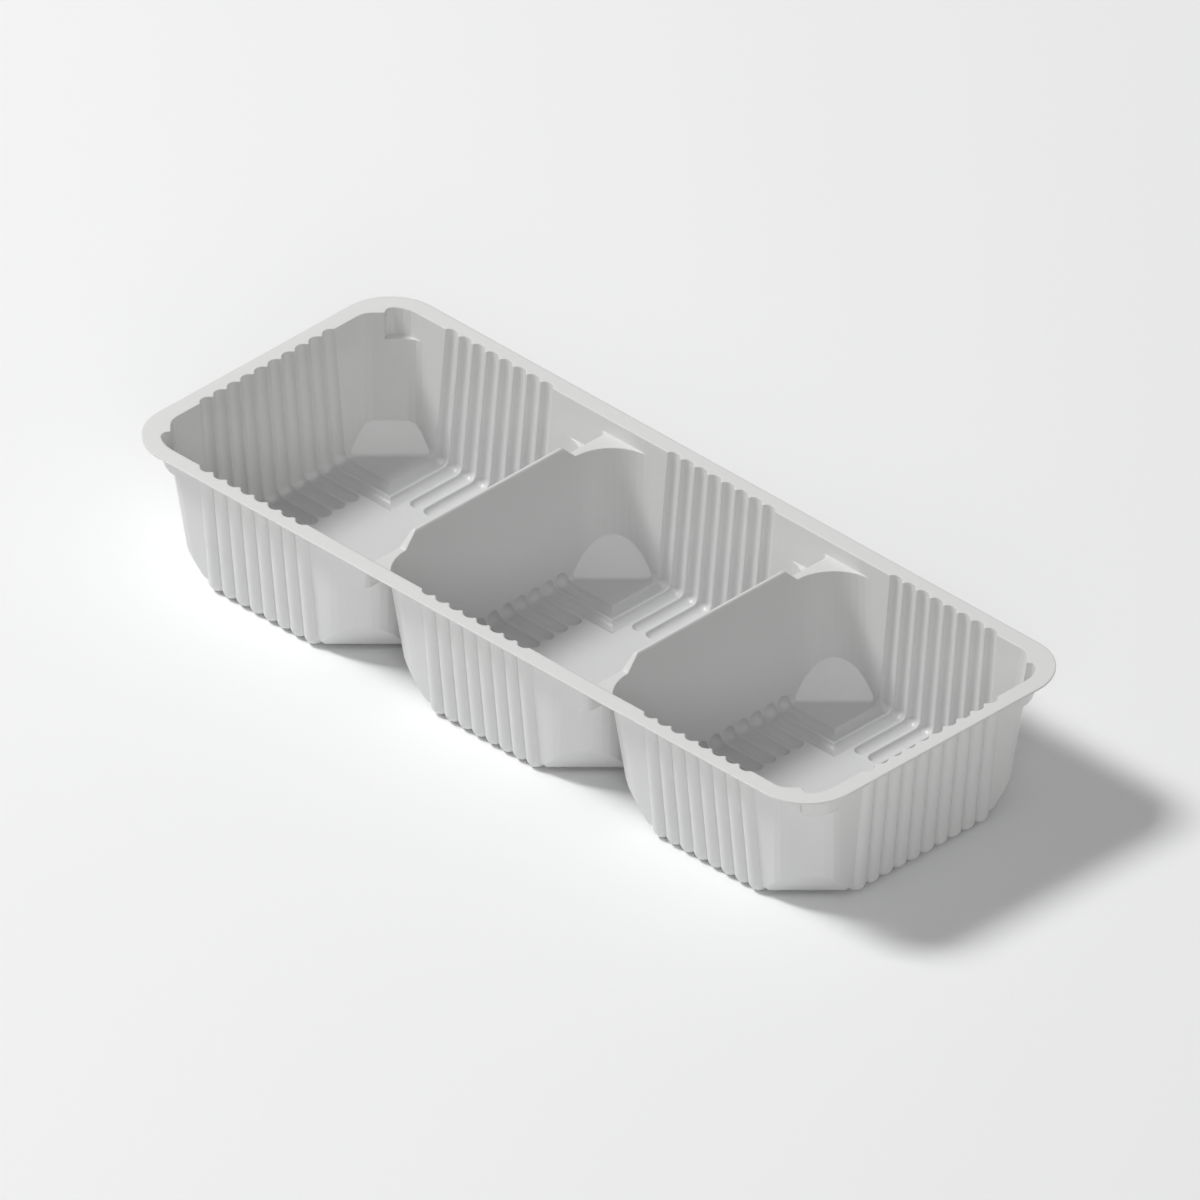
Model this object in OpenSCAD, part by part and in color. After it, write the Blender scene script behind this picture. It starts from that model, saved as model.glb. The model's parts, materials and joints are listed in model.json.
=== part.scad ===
// Thermoformed packaging tray with a row of fluted compartments.
// The sheet is one piece: a flat sealing flange, deep pockets with drafted walls, folded
// partitions with lowered saddles at both ends, and lugs that keep stacked trays apart.
// X runs along the row, Y across it, and Z is up from the surface that the tray stands on.

/* [Rim] */
// Overall length over the flange
tray_l = 260; // [250:1:300]
// Overall width over the flange
tray_w = 102.8; // [98:0.2:130]
// Outer corner radius of the flange
rim_r = 15.5; // [13:0.5:18]
// Width of the flat flange beside a plain wall
flange_w = 5.1; // [4:0.1:7]
// Thickness of the formed sheet
sheet = 0.5; // [0.3:0.05:0.7]

/* [Compartments] */
// Number of compartments in the row
compartments = 3; // [2:1:3]
// Depth from the top of the flange to the compartment floor
depth = 39.2; // [34:0.2:50]
// Lean of every wall away from upright, in degrees
draft = 6; // [4:0.5:8]
// Radius where walls and partitions turn into the floor
foot_r = 1.9; // [1:0.1:2.5]
// Gap inside the folded partitions at flange level
fold_gap = 0.3; // [0.2:0.05:1]

/* [Flutes] */
// Radius of the half round flutes
flute_r = 2.44; // [2.2:0.02:2.5]
// Depth of the flutes behind the plain wall and floor
flute_depth = 1.34; // [1:0.02:1.6]
// Distance between neighbouring flutes
flute_pitch = 5.13; // [5.1:0.01:5.5]
// Flutes in each long wall of a compartment
long_flutes = 8; // [6:2:8]
// Flutes across the width of a compartment
cross_flutes = 10; // [8:2:10]
// Outer flutes at each end of a row that turn a mitred corner on the floor
turned_flutes = 2; // [1:1:2]
// Straight run of the floor grooves that start at a long wall
long_run = 17.8; // [12:0.2:19]
// Straight run of the floor grooves that start at an end wall or partition
cross_run = 13.6; // [10:0.2:15]

/* [Corners] */
// Radius of the rounded columns beside the partitions
column_r = 14.1; // [12:0.1:16]
// Leg that the slanting face cuts off each corner of the tray
chamfer_leg = 9.8; // [8:0.1:11]
// Radius between that face and the walls
chamfer_r = 5.6; // [3:0.1:7]
// Leg that the sloping foot cuts off each corner of a compartment floor
foot_leg = 15.9; // [13:0.1:17]
// Slope of that foot, in degrees from level
foot_slope = 55; // [45:1:65]
// Radius between that foot and the floor
foot_blend = 1.1; // [0.5:0.1:2]

/* [Saddles and lugs] */
// Length of the dip at each end of a partition, from the long wall
saddle_reach = 18.6; // [16:0.2:22]
// Depth of the upper shelf below the flange
high_shelf = 4.3; // [3:0.1:6]
// Depth of the lower shelf below the flange
low_shelf = 11.5; // [9:0.1:14]
// Radius of the upright corner above the lower shelf
shelf_corner_r = 2.1; // [1:0.1:3]
// Depth of the stacking lugs in the corners of the tray
lug_depth = 7.7; // [5:0.1:10]
// Distance of a lug's step from the middle of the corner
lug_step = 1.4; // [0.5:0.1:2]
// Radius between that step and the lug's outer wall
lug_blend = 2.3; // [1:0.1:3]

/* [Hidden] */
$fn = 48;
// Flat steps in a quarter turn of a large and a small blend
large_steps = 10;
small_steps = 3;
// How far cutting shapes reach past what they cut
reach = 30;
// Balls at the elbows of the flutes stand this much proud of them
ball_proud = 0.04;
// Small overlap that keeps a face clear of the one beside it
hair = 0.02;

ball_r = flute_r + ball_proud;
// Flute axes lie this far inside the plain faces
axis_in = flute_r - flute_depth;
floor_z = sheet + ball_r - axis_in;
rim_z = floor_z + depth;
ridge_half = sheet / cos(draft) + fold_gap / 2;
row_l = tray_l - 2 * flange_w;
pitch = (row_l + 2 * ridge_half) / compartments;
half_l = pitch / 2 - ridge_half;
half_w = tray_w / 2 - flange_w;
// Corner edges of a pocket lean both ways at once
corner_lean = atan(sqrt(2) * tan(draft));
corner_turn = asin(cos(draft) / sqrt(2));
// The crest of a partition stops its rounding here, to leave a narrow flat
crest_end = 78;
crest_r = ridge_half / (1 / cos(draft) - sin(crest_end) * tan(draft));
lug_r = rim_r - flange_w;
// The four walls of a compartment, by the turn from the +Y wall
SIDES = [0, 90, 180, 270];

// Points on an arc, from angle a to angle b
function arc(cx, cy, r, a, b, steps) =
    [for (i = [0:steps]) let (t = a + (b - a) * i / steps) [cx + r * cos(t), cy + r * sin(t)]];

// Radius of a flat stepped arc that keeps the area of the true one
function stepped(r, turn, steps) = r / sqrt(cos(turn / steps / 2));

// Half width of a pocket at height z, for a plain wall that starts at half at the rim
function wall_at(half, z, g) = half - (rim_z - z) * tan(draft) + g / cos(draft);

// Distance from the pocket's middle to the elbow balls of its wall
function elbow_at(half) = wall_at(half, floor_z + axis_in, 0) - axis_in / cos(draft);

// One side of a pocket's section, from the middle of its floor up past the rim
function wall_side(half, g) =
    let (cz = floor_z + foot_r, cx = wall_at(half, cz, 0) - foot_r / cos(draft))
    concat(
        arc(cx, cz, foot_r + g, -90, -draft, small_steps),
        [[wall_at(half, rim_z + reach, g), rim_z + reach]]
    );

// The same side where a partition stands: its top rounds over towards the crest
function ridge_side(half, g) =
    let (
        cz = floor_z + foot_r,
        cx = wall_at(half, cz, 0) - foot_r / cos(draft),
        crest_x = half + ridge_half,
        crest_z = rim_z - crest_r * sin(crest_end)
    )
    concat(
        arc(cx, cz, foot_r + g, -90, -draft, small_steps),
        arc(crest_x, crest_z, crest_r, 180 - draft, 180 - crest_end, small_steps),
        [[crest_x - crest_r * cos(crest_end), rim_z + reach]]
    );

function mirrored(points) = [for (i = [len(points) - 1:-1:0]) [-points[i][0], points[i][1]]];

// Section profile in X and Z swept across the tray
module swept_y(width) rotate([90, 0, 0]) linear_extrude(width, center = true) children();

// Section profile in Y and Z swept along the tray
module swept_x(length) rotate([90, 0, 90]) linear_extrude(length, center = true) children();

// Cross section of the long walls
module cross_section(g) polygon(concat(wall_side(half_w, g), mirrored(wall_side(half_w, g))));

// Section of one compartment along the row
module row_section(left_ridge, right_ridge, g) {
    right = right_ridge && g == 0 ? ridge_side(half_l, g) : wall_side(half_l, g);
    left = left_ridge && g == 0 ? ridge_side(half_l, g) : wall_side(half_l, g);
    polygon(concat(right, mirrored(left)));
}

// Stands at the upper corner of a pocket in the quadrant sx, sy.
// Its X points out along the diagonal and its Z follows the leaning corner edge.
module at_corner(sx, sy) {
    mirror([sx < 0 ? 1 : 0, 0, 0])
    mirror([0, sy < 0 ? 1 : 0, 0])
    translate([half_l, half_w, rim_z])
    rotate([0, 0, 45])
    rotate([0, corner_lean, 0])
        children();
}

// Prism along a corner edge, from below the floor to above the rim
module along_edge() translate([0, 0, -depth - reach]) linear_extrude(depth + 2 * reach) children();

// What lies outside a rounded corner of radius r
module outside_round(r, g, steps) {
    middle = -r / cos(corner_turn);
    flats = stepped(r + g, 2 * corner_turn, steps);
    out = 1.3 * r + g;
    polygon(concat(
        arc(middle, 0, flats, -corner_turn, corner_turn, steps),
        arc(middle, 0, flats + out, corner_turn, -corner_turn, 1)
    ));
}

// What lies outside the slanting face at a corner of the tray
module outside_chamfer(g) {
    // Middles of the two blends, either side of the diagonal
    blend_x = -chamfer_leg / sqrt(2) - chamfer_r;
    blend_y = (-blend_x - chamfer_r / cos(corner_turn)) / tan(corner_turn);
    steps = small_steps - 1;
    flats = stepped(chamfer_r + g, corner_turn, steps);
    out_x = blend_x + 2 * chamfer_leg * cos(corner_turn);
    out_y = blend_y + 2 * chamfer_leg * sin(corner_turn);
    polygon(concat(
        arc(blend_x, -blend_y, flats, -corner_turn, 0, steps),
        arc(blend_x, blend_y, flats, 0, corner_turn, steps),
        [[out_x, out_y], [out_x, -out_y]]
    ));
}

// Rounded column beside a partition, up to the underside of its shelf
module column(sx, sy, shelf, g) intersection() {
    at_corner(sx, sy) along_edge() outside_round(column_r, g, large_steps);
    translate([-tray_l, -tray_w, -depth]) cube([2 * tray_l, 2 * tray_w, rim_z - shelf - g + depth]);
}

// Small round in the upright corner above the lower shelf
module shelf_corner(sy, g) at_corner(1, sy) along_edge() outside_round(shelf_corner_r, g, small_steps);

// What lies outside the sloping foot across a corner of the floor
module outside_foot(sx, sy, g) {
    line = (wall_at(half_l, floor_z, 0) + wall_at(half_w, floor_z, 0) - foot_leg) / sqrt(2);
    // Middle of the small round between floor and foot
    mid = [line - foot_blend * tan(foot_slope / 2), floor_z + foot_blend];
    blend = arc(mid.x, mid.y, stepped(foot_blend + g, foot_slope, small_steps), -90, foot_slope - 90, small_steps);
    top = blend[small_steps] + foot_leg * [cos(foot_slope), sin(foot_slope)];
    mirror([sx < 0 ? 1 : 0, 0, 0])
    mirror([0, sy < 0 ? 1 : 0, 0])
    rotate([0, 0, 45])
    swept_y(4 * half_w)
        polygon(concat(blend, [top, [2 * line, top.y], [2 * line, -depth], [mid.x, -depth]]));
}

// Plain hollow of one compartment, with every face moved out by g
module core(left_end, right_end, g) difference() {
    intersection() {
        swept_y(2 * tray_w) row_section(!left_end, !right_end, g);
        swept_x(2 * pitch) cross_section(g);
    }
    for (sy = [-1, 1]) {
        outside_foot(-1, sy, g);
        outside_foot(1, sy, g);
        if (left_end) at_corner(-1, sy) along_edge() outside_chamfer(g);
        else column(-1, sy, high_shelf, g);
        if (right_end) at_corner(1, sy) along_edge() outside_chamfer(g);
        else {
            column(1, sy, low_shelf, g);
            shelf_corner(sy, g);
        }
    }
}

function is_long(side) = side % 180 == 0;
function side_half(side) = is_long(side) ? half_w : half_l;
function side_flutes(side) = is_long(side) ? long_flutes : cross_flutes;
function side_run(side) = is_long(side) ? long_run : cross_run;
function flute_x(side, k) = (k - (side_flutes(side) - 1) / 2) * flute_pitch;
function is_turned(side, k) = min(k, side_flutes(side) - 1 - k) < turned_flutes;

// Stands at the elbow of flute k, with Y out towards the wall
module at_elbow(side, k) {
    rotate([0, 0, side])
    translate([flute_x(side, k), elbow_at(side_half(side)), floor_z + axis_in])
        children();
}

// Half round bar up from the origin, with its round side towards Y
module half_round(r, h) rotate_extrude(angle = 180) square([r, h]);

// The same bar with a ball's quarter at its foot
module round_ended(r, h) rotate_extrude(angle = 180) {
    square([r, h]);
    intersection() {
        circle(r = r);
        translate([0, -r]) square(r);
    }
}

// Stands at the inner end of a groove, with Z along it and Y down
module at_run(run) translate([0, -run, 0]) rotate([-90, 0, 0]) children();

// Flute out in the wall, from an elbow up past the rim
module wall_flute(g)
    rotate([-draft, 0, 0])
    translate([0, 0, hair])
        half_round(flute_r + g, depth / cos(draft) + flute_r);

// Floor grooves of one side that turn a corner, cut off at the mitres
module turned_grooves(side, g) {
    elbow = elbow_at(side_half(side));
    // The mitre wedges of neighbouring sides overlap by a hair
    tip = (side_flutes(side + 90) - side_flutes(side)) / 2 * flute_pitch - hair;
    function run(k) = elbow - abs(flute_x(side, k)) - tip + 2 * flute_r;
    intersection() {
        for (k = [0:side_flutes(side) - 1]) if (is_turned(side, k))
            at_elbow(side, k) at_run(run(k)) half_round(flute_r + g, run(k) - hair);
        rotate([0, 0, side])
        translate([0, 0, -depth])
        linear_extrude(2 * depth)
            polygon([[0, tip], [tray_w, tray_w + tip], [-tray_w, tray_w + tip]]);
    }
}

// Hollow of one compartment with its flutes and grooves, and every face moved out by g
module pocket(left_end, right_end, g) {
    core(left_end, right_end, g);
    for (side = SIDES, k = [0:side_flutes(side) - 1])
        at_elbow(side, k) sphere(r = ball_r + g);
    for (side = SIDES, k = [0:side_flutes(side) - 1])
        if (is_long(side) || (side == 90 && left_end) || (side == 270 && right_end))
            at_elbow(side, k) wall_flute(g);
    for (side = SIDES, k = [0:side_flutes(side) - 1])
        if (!is_turned(side, k))
            at_elbow(side, k) at_run(side_run(side)) round_ended(flute_r + g, side_run(side) - hair);
    for (side = SIDES) turned_grooves(side, g);
}

// Hollows of all compartments
module pockets(g) {
    for (i = [0:compartments - 1])
        translate([(i - (compartments - 1) / 2) * pitch, 0, 0])
            pocket(i == 0, i == compartments - 1, g);
}

// Dip across a partition beside the long wall on the sy side
module saddle(sy, g) {
    y0 = half_w - saddle_reach;
    shelf_z = rim_z - high_shelf - g;
    intersection() {
        swept_x(6 * ridge_half + 2 * high_shelf) cross_section(g);
        mirror([0, sy < 0 ? 1 : 0, 0])
        swept_x(4 * pitch)
            polygon([
                [y0 - g * sqrt(2) - reach, rim_z + reach],
                [y0 + high_shelf - g * tan(22.5), shelf_z],
                [half_w + reach, shelf_z],
                [half_w + reach, rim_z + reach]
            ]);
    }
}

module saddles(g) {
    for (i = [1:compartments - 1], sy = [-1, 1])
        translate([(i - compartments / 2) * pitch, 0, 0]) saddle(sy, g);
}

// Lug that leaves a corner of the tray open for the upper few millimetres.
// It lies on the half of each corner that faces the right end of the row.
module lug(sx, sy, g) {
    middle = -lug_r / cos(corner_turn);
    r = lug_r + g - hair;
    // Middle of the small round between the lug's step and its outer wall
    blend_y = lug_blend - lug_step;
    blend_x = middle + sqrt(pow(lug_r - lug_blend, 2) - pow(blend_y, 2));
    blend_end = atan2(blend_y, blend_x - middle);
    end = [middle + r * cos(corner_turn), r * sin(corner_turn)];
    intersection() {
        at_corner(sx, sy)
        mirror([0, sx > 0 ? 1 : 0, 0])
        along_edge()
            polygon(concat(
                [[2 * middle, hair - lug_step - g]],
                arc(blend_x, blend_y, lug_blend + g - hair, -90, blend_end, small_steps),
                arc(middle, 0, r, blend_end, corner_turn, small_steps),
                [end + lug_r * [-sin(corner_turn), cos(corner_turn)], [2 * middle, lug_r]]
            ));
        translate([-pitch, -tray_w, rim_z - lug_depth - g]) cube([2 * pitch, 2 * tray_w, depth]);
    }
}

module lugs(g) {
    for (sx = [-1, 1], sy = [-1, 1])
        translate([sx * (compartments - 1) / 2 * pitch, 0, 0]) lug(sx, sy, g);
}

// Flat flange outline
module flange_outline() {
    square([tray_l - 2 * rim_r, tray_w], center = true);
    square([tray_l, tray_w - 2 * rim_r], center = true);
    for (x = [-1, 1], y = [-1, 1])
        translate([x * (tray_l / 2 - rim_r), y * (tray_w / 2 - rim_r)]) circle(r = rim_r);
}

module flange() translate([0, 0, rim_z - sheet]) linear_extrude(sheet) flange_outline();

// Closed top of the folded sheet along each partition
module folds() {
    for (i = [1:compartments - 1])
        translate([(i - compartments / 2) * pitch - ridge_half, -half_w + sheet, rim_z - 2 * sheet])
            cube([2 * ridge_half, 2 * (half_w - sheet), 2 * sheet]);
}

// Everything above the sealing face
module above_rim() translate([-tray_l, -tray_w, rim_z]) cube([2 * tray_l, 2 * tray_w, 2 * reach]);

module tray() color("whitesmoke") difference() {
    union() {
        flange();
        folds();
        pockets(sheet);
        saddles(sheet);
        lugs(sheet);
    }
    pockets(0);
    saddles(0);
    lugs(0);
    above_rim();
}

tray();
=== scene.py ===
"""Thermoformed packaging tray: its satin sheet, the studio round it and the drawing's own view."""

import json
import logging
import math
from collections.abc import Iterable
from dataclasses import dataclass, field
from enum import Enum

import bpy
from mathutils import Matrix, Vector

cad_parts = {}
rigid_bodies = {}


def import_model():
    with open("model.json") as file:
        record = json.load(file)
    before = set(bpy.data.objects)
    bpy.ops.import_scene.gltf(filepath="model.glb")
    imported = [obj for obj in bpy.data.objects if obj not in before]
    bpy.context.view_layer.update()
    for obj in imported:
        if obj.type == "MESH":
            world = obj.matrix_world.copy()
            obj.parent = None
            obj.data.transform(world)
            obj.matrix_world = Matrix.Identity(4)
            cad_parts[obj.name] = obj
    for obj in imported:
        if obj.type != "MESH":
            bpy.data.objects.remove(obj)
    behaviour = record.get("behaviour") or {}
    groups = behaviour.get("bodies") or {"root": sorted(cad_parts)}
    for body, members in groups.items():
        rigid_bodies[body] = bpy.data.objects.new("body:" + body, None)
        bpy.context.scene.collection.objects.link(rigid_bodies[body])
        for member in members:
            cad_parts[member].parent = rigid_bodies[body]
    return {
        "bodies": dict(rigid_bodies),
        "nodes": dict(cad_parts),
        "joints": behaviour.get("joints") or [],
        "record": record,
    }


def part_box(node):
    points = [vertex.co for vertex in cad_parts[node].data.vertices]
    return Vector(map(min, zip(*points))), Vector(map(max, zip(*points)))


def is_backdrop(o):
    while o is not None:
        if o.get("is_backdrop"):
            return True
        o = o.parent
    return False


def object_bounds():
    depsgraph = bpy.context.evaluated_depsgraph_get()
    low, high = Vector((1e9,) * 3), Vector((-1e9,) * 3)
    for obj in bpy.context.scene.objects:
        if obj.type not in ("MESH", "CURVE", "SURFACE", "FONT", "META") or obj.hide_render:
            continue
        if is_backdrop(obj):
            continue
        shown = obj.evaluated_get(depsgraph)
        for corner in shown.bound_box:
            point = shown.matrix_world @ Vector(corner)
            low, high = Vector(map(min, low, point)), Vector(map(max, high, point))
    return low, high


LOG = logging.getLogger("packaging_tray")

Colour = tuple[float, float, float, float]
Point = tuple[float, float, float]
Box = tuple[Vector, Vector]


class Grain(Enum):
    """Fineness of the marks in the formed sheet, as noise scale per metre."""

    ORANGE_PEEL = 420.0
    MOULD_GRAIN = 2600.0
    CLOUD = 22.0


class Softness(Enum):
    """Edge length of a studio lamp, in metres."""

    SOFT_BOX = 0.8
    WINDOW = 1.4


class NodeGraph:
    """Short names for building the node graph of a material or world."""

    def __init__(self, owner: bpy.types.Material | bpy.types.World) -> None:
        """Clears the owner's default graph.

        Args:
            owner: the material or world whose nodes are made here.
        """
        owner.use_nodes = True
        self.tree = owner.node_tree
        self.tree.nodes.clear()

    def add(self, kind: str, **values: object) -> bpy.types.Node:
        """Adds a node and sets its properties and input sockets.

        Args:
            kind: the node's bpy type name.
            **values: properties, or input names with spaces written as underscores.

        Returns:
            The new node.
        """
        node = self.tree.nodes.new(kind)
        for key, value in values.items():
            socket = node.inputs.get(key.replace("_", " "))
            if socket is None:
                setattr(node, key, value)
            else:
                socket.default_value = value
        return node

    def link(self, source: bpy.types.NodeSocket, target: bpy.types.NodeSocket) -> None:
        """Joins two sockets.

        Args:
            source: the output socket that gives the value.
            target: the input socket that takes it.
        """
        self.tree.links.new(source, target)

    @staticmethod
    def socket(sockets: Iterable[bpy.types.NodeSocket], identifier: str) -> bpy.types.NodeSocket:
        """Finds a socket that shares its name with others.

        Args:
            sockets: a node's inputs or outputs.
            identifier: the socket's own identifier.

        Returns:
            The socket.
        """
        return next(socket for socket in sockets if socket.identifier == identifier)


@dataclass(frozen=True)
class FormedSheetFinish:
    """Satin polypropylene sheet, as it leaves the forming mould.

    Attributes:
        name: name of the material.
        thick_colour: colour at the flange, where the sheet keeps its thickness.
        drawn_colour: colour at the compartment floors, where it is drawn thin.
        colour_drift: how far the cloud shifts the blend of the two colours.
        cloud_detail: levels of detail in the cloud, which drifts colour and gloss.
        roughness_low: roughness where the cloud is at its lowest.
        roughness_high: roughness where the cloud is at its highest.
        edge_radius: radius of the edges as they are shaded, in metres.
        edge_samples: rays that look for an edge.
        peel_height: height of the orange peel, in metres.
        grain_height: height of the mould's grain, in metres.
        relief_detail: levels of detail in both of them.
        refraction: index of refraction.
        glow: share of the light that scatters inside the sheet.
        glow_radius: how far it scatters, in metres.
        glow_tint: share of that for red, green and blue.
    """

    name: str = "formed_sheet"
    thick_colour: Colour = (0.75, 0.75, 0.738, 1.0)
    drawn_colour: Colour = (0.70, 0.705, 0.70, 1.0)
    colour_drift: float = 0.35
    cloud_detail: float = 3.0
    roughness_low: float = 0.25
    roughness_high: float = 0.35
    edge_radius: float = 0.0005
    edge_samples: int = 6
    peel_height: float = 0.00006
    grain_height: float = 0.000012
    relief_detail: float = 2.0
    refraction: float = 1.49
    glow: float = 0.12
    glow_radius: float = 0.004
    glow_tint: Point = (1.0, 0.95, 0.85)

    def material(self, floor_z: float, rim_z: float) -> bpy.types.Material:
        """Makes the sheet's material.

        Args:
            floor_z: height of the compartment floor, in metres.
            rim_z: height of the flange, in metres.

        Returns:
            The material.
        """
        material = bpy.data.materials.new(self.name)
        graph = NodeGraph(material)
        place = graph.add("ShaderNodeTexCoord")
        cloud = graph.add("ShaderNodeTexNoise", Scale=Grain.CLOUD.value, Detail=self.cloud_detail)
        graph.link(place.outputs["Object"], cloud.inputs["Vector"])
        tint = self._tint(graph, place, cloud, floor_z, rim_z)
        gloss = graph.add(
            "ShaderNodeMapRange",
            To_Min=self.roughness_low,
            To_Max=self.roughness_high,
        )
        graph.link(cloud.outputs["Fac"], gloss.inputs["Value"])
        edges = graph.add("ShaderNodeBevel", samples=self.edge_samples, Radius=self.edge_radius)
        peel = self._bump(graph, place, Grain.ORANGE_PEEL, self.peel_height, edges)
        grain = self._bump(graph, place, Grain.MOULD_GRAIN, self.grain_height, peel)
        shader = graph.add(
            "ShaderNodeBsdfPrincipled",
            IOR=self.refraction,
            Subsurface_Weight=self.glow,
            Subsurface_Radius=self.glow_tint,
            Subsurface_Scale=self.glow_radius,
        )
        output = graph.add("ShaderNodeOutputMaterial")
        graph.link(tint, shader.inputs["Base Color"])
        graph.link(gloss.outputs["Result"], shader.inputs["Roughness"])
        graph.link(grain.outputs["Normal"], shader.inputs["Normal"])
        graph.link(shader.outputs["BSDF"], output.inputs["Surface"])
        return material

    def _tint(
        self,
        graph: NodeGraph,
        place: bpy.types.Node,
        cloud: bpy.types.Node,
        floor_z: float,
        rim_z: float,
    ) -> bpy.types.NodeSocket:
        """Blends the two colours from the flange down to the floor, with a little drift.

        Args:
            graph: the material's graph.
            place: its texture coordinate node.
            cloud: the noise node that makes the blend drift.
            floor_z: height of the compartment floor, in metres.
            rim_z: height of the flange, in metres.

        Returns:
            The output socket that gives the colour.
        """
        height = graph.add("ShaderNodeSeparateXYZ")
        graph.link(place.outputs["Object"], height.inputs["Vector"])
        drawn = graph.add("ShaderNodeMapRange", From_Min=rim_z, From_Max=floor_z)
        graph.link(height.outputs["Z"], drawn.inputs["Value"])
        blend = graph.add("ShaderNodeMath", operation="MULTIPLY_ADD")
        graph.link(cloud.outputs["Fac"], blend.inputs[0])
        blend.inputs[1].default_value = self.colour_drift
        graph.link(drawn.outputs["Result"], blend.inputs[2])
        tint = graph.add("ShaderNodeMix", data_type="RGBA")
        graph.socket(tint.inputs, "A_Color").default_value = self.thick_colour
        graph.socket(tint.inputs, "B_Color").default_value = self.drawn_colour
        graph.link(blend.outputs["Value"], tint.inputs["Factor"])
        return graph.socket(tint.outputs, "Result_Color")

    def _bump(
        self,
        graph: NodeGraph,
        place: bpy.types.Node,
        grain: Grain,
        height: float,
        under: bpy.types.Node,
    ) -> bpy.types.Node:
        """Adds one layer of fine relief.

        Args:
            graph: the material's graph.
            place: its texture coordinate node.
            grain: the fineness of the relief's marks.
            height: their height, in metres.
            under: the node whose normals this relief lies on.

        Returns:
            The bump node.
        """
        noise = graph.add("ShaderNodeTexNoise", Scale=grain.value, Detail=self.relief_detail)
        graph.link(place.outputs["Object"], noise.inputs["Vector"])
        bump = graph.add("ShaderNodeBump", Distance=height)
        graph.link(noise.outputs["Fac"], bump.inputs["Height"])
        graph.link(under.outputs["Normal"], bump.inputs["Normal"])
        return bump


@dataclass
class FormedTray:
    """The tray itself: one formed sheet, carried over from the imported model.

    Attributes:
        node: name of the sheet's CAD node.
        finish: what it is made of.
        thickness: thickness of the sheet, in metres.
    """

    node: str = "tray"
    finish: FormedSheetFinish = field(default_factory=FormedSheetFinish)
    thickness: float = 0.0005

    def build(self, frame: dict) -> bpy.types.Object:
        """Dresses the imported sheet.


        Returns:
            The dressed object.
        """
        sheet = frame["nodes"][self.node]
        low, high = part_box(self.node)
        material = self.finish.material(low.z + self.thickness, high.z)
        sheet.data.materials.clear()
        sheet.data.materials.append(material)
        return sheet


@dataclass(frozen=True)
class Lamp:
    """One soft square lamp that looks at the tray.

    Attributes:
        name: name of the lamp.
        place: where it stands, in metres.
        power: its power, in watts.
        softness: its size.
    """

    name: str
    place: Point
    power: float
    softness: Softness

    def build(self) -> None:
        """Makes the lamp."""
        data = bpy.data.lights.new(self.name, "AREA")
        data.energy = self.power
        data.shape = "SQUARE"
        data.size = self.softness.value
        lamp = bpy.data.objects.new(self.name, data)
        lamp.location = self.place
        lamp.rotation_euler = Vector(self.place).to_track_quat("Z", "Y").to_euler()
        bpy.context.scene.collection.objects.link(lamp)


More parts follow.
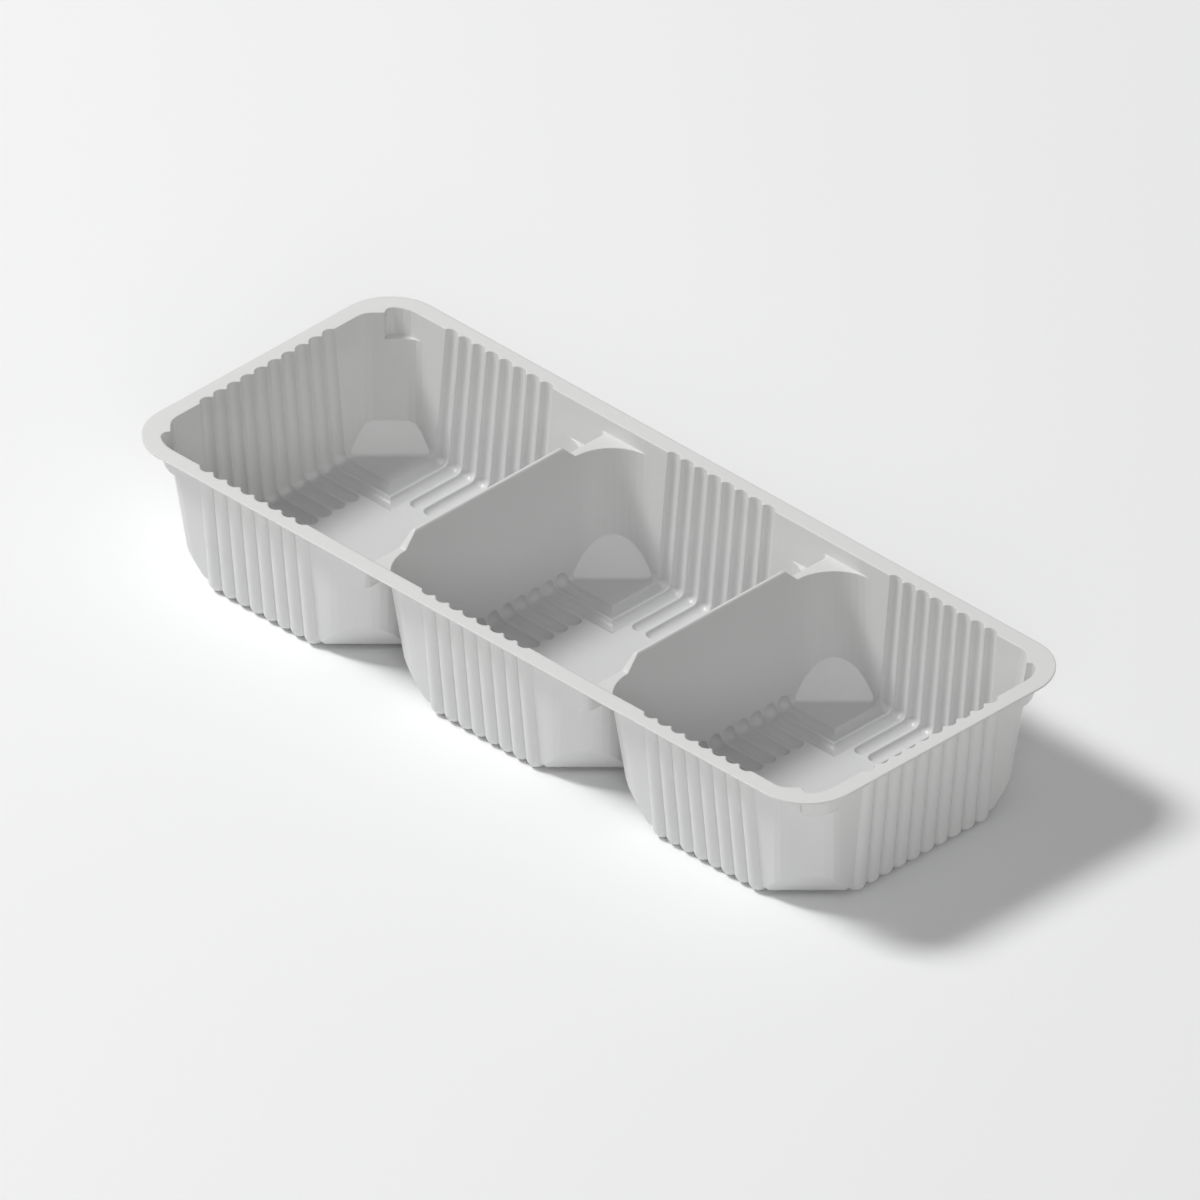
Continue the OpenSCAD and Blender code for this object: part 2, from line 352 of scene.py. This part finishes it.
@dataclass
class Studio:
    """Pale floor, soft lamps and an even sky.

    Attributes:
        floor_half: half the side of the square floor, in metres.
        floor_colour: colour of the floor.
        floor_scale: noise scale per metre of the drift in its tone.
        floor_drift: how far its tone drifts up and down, as a share.
        floor_roughness: roughness of the floor.
        sky_colour: colour of the even light and of the backdrop.
        sky_strength: strength of the even light.
        backdrop_strength: strength of the backdrop, which the camera and reflections see.
        lamps: the lamps.
    """

    floor_half: float = 3.0
    floor_colour: Colour = (0.95, 0.952, 0.955, 1.0)
    floor_scale: float = 9.0
    floor_drift: float = 0.015
    floor_roughness: float = 0.85
    sky_colour: Colour = (1.0, 1.0, 1.0, 1.0)
    sky_strength: float = 0.27
    backdrop_strength: float = 0.88
    lamps: tuple[Lamp, ...] = (
        Lamp("key", (-1.8, -1.0, 2.6), 78.0, Softness.SOFT_BOX),
        Lamp("fill", (2.6, -2.4, 1.8), 20.0, Softness.WINDOW),
    )

    def build(self) -> None:
        """Makes the floor, the lamps and the sky."""
        self._floor()
        self._sky()
        for lamp in self.lamps:
            lamp.build()

    def _floor(self) -> None:
        """Lays the floor that the tray stands on."""
        half = self.floor_half
        corners = [(-half, -half, 0), (half, -half, 0), (half, half, 0), (-half, half, 0)]
        mesh = bpy.data.meshes.new("floor")
        mesh.from_pydata(corners, [], [(0, 1, 2, 3)])
        mesh.materials.append(self._floor_material())
        floor = bpy.data.objects.new("floor", mesh)
        bpy.context.scene.collection.objects.link(floor)
        floor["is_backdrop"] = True

    def _floor_material(self) -> bpy.types.Material:
        """Makes the floor's material, which is clear to a camera that looks up from below.

        Returns:
            The material.
        """
        material = bpy.data.materials.new("floor")
        graph = NodeGraph(material)
        noise = graph.add("ShaderNodeTexNoise", Scale=self.floor_scale)
        tone = graph.add(
            "ShaderNodeMapRange",
            To_Min=1.0 - self.floor_drift,
            To_Max=1.0 + self.floor_drift,
        )
        shade = graph.add("ShaderNodeVectorMath", operation="SCALE")
        shade.inputs[0].default_value = self.floor_colour[:3]
        paper = graph.add("ShaderNodeBsdfPrincipled", Roughness=self.floor_roughness)
        clear = graph.add("ShaderNodeBsdfTransparent")
        facing = graph.add("ShaderNodeNewGeometry")
        path = graph.add("ShaderNodeLightPath")
        seen_below = graph.add("ShaderNodeMath", operation="MULTIPLY")
        shader = graph.add("ShaderNodeMixShader")
        output = graph.add("ShaderNodeOutputMaterial")
        graph.link(noise.outputs["Fac"], tone.inputs["Value"])
        graph.link(tone.outputs["Result"], shade.inputs["Scale"])
        graph.link(shade.outputs["Vector"], paper.inputs["Base Color"])
        graph.link(facing.outputs["Backfacing"], seen_below.inputs[0])
        graph.link(path.outputs["Is Camera Ray"], seen_below.inputs[1])
        graph.link(seen_below.outputs["Value"], shader.inputs["Fac"])
        graph.link(paper.outputs["BSDF"], shader.inputs[1])
        graph.link(clear.outputs["BSDF"], shader.inputs[2])
        graph.link(shader.outputs["Shader"], output.inputs["Surface"])
        return material

    def _sky(self) -> None:
        """Sets the even light. Camera, glossy and transmission rays see the backdrop instead."""
        world = bpy.data.worlds.new("sky")
        graph = NodeGraph(world)
        path = graph.add("ShaderNodeLightPath")
        seen = path.outputs["Is Camera Ray"]
        for other_ray in ("Is Glossy Ray", "Is Transmission Ray"):
            either = graph.add("ShaderNodeMath", operation="MAXIMUM")
            graph.link(seen, either.inputs[0])
            graph.link(path.outputs[other_ray], either.inputs[1])
            seen = either.outputs["Value"]
        shader = graph.add("ShaderNodeMixShader")
        graph.link(seen, shader.inputs["Fac"])
        for slot, strength in enumerate((self.sky_strength, self.backdrop_strength), start=1):
            light = graph.add("ShaderNodeBackground", Color=self.sky_colour, Strength=strength)
            graph.link(light.outputs["Background"], shader.inputs[slot])
        output = graph.add("ShaderNodeOutputWorld")
        graph.link(shader.outputs["Shader"], output.inputs["Surface"])
        bpy.context.scene.world = world


@dataclass(frozen=True)
class DrawingView:
    """The drawing's parallel view, fitted to the rim's outline.

    Attributes:
        azimuth: turn round the tray from its long side, in degrees.
        elevation: angle above the level of the flange, in degrees.
        picture_px: side of the square drawing, in pixels.
        metres_per_px: scale of the drawing across the view.
        rim_middle_px: middle of the rim's outline, from the drawing's top left corner.
        distance: how far away the camera stands, in metres.
        reach: how far it sees, in metres.
    """

    azimuth: float = 45.0
    elevation: float = 33.67
    picture_px: float = 1200.0
    metres_per_px: float = 0.00026648
    rim_middle_px: tuple[float, float] = (598.8, 550.05)
    distance: float = 2.0
    reach: float = 10.0

    def build(self, rim_z: float) -> None:
        """Makes the scene's camera.

        Args:
            rim_z: height of the flange, in metres.
        """
        turn, rise = math.radians(self.azimuth), math.radians(self.elevation)
        level = math.cos(rise)
        back = Vector((math.sin(turn) * level, -math.cos(turn) * level, math.sin(rise)))
        right = Vector((math.cos(turn), math.sin(turn), 0.0))
        up = back.cross(right)
        across, down = (self.picture_px / 2 - pixel for pixel in self.rim_middle_px)
        middle = Vector((0.0, 0.0, rim_z)) + (right * across - up * down) * self.metres_per_px
        data = bpy.data.cameras.new("drawing_view")
        data.type = "ORTHO"
        data.ortho_scale = self.picture_px * self.metres_per_px
        data.clip_end = self.reach
        camera = bpy.data.objects.new("drawing_view", data)
        camera.location = middle + back * self.distance
        camera.rotation_euler = back.to_track_quat("Z", "Y").to_euler()
        bpy.context.scene.collection.objects.link(camera)
        bpy.context.scene.camera = camera


def as_lists(bounds: Box) -> list[list[float]]:
    """Turns a box into plain numbers.

    Args:
        bounds: its lowest and highest corner.

    Returns:
        The two corners as lists.
    """
    return [list(corner) for corner in bounds]


def main() -> None:
    """Builds the dressed tray, its studio and its view."""
    logging.basicConfig(level=logging.INFO, format="%(name)s: %(message)s")
    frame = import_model()
    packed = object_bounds()
    tray = FormedTray().build(frame)
    LOG.info("%s: %d faces", tray.name, len(tray.data.polygons))
    Studio().build()
    DrawingView().build(packed[1].z)
    bpy.context.scene.view_settings.view_transform = "Standard"
    LOG.info("box %s", as_lists(packed))


if __name__ == "__main__":
    main()
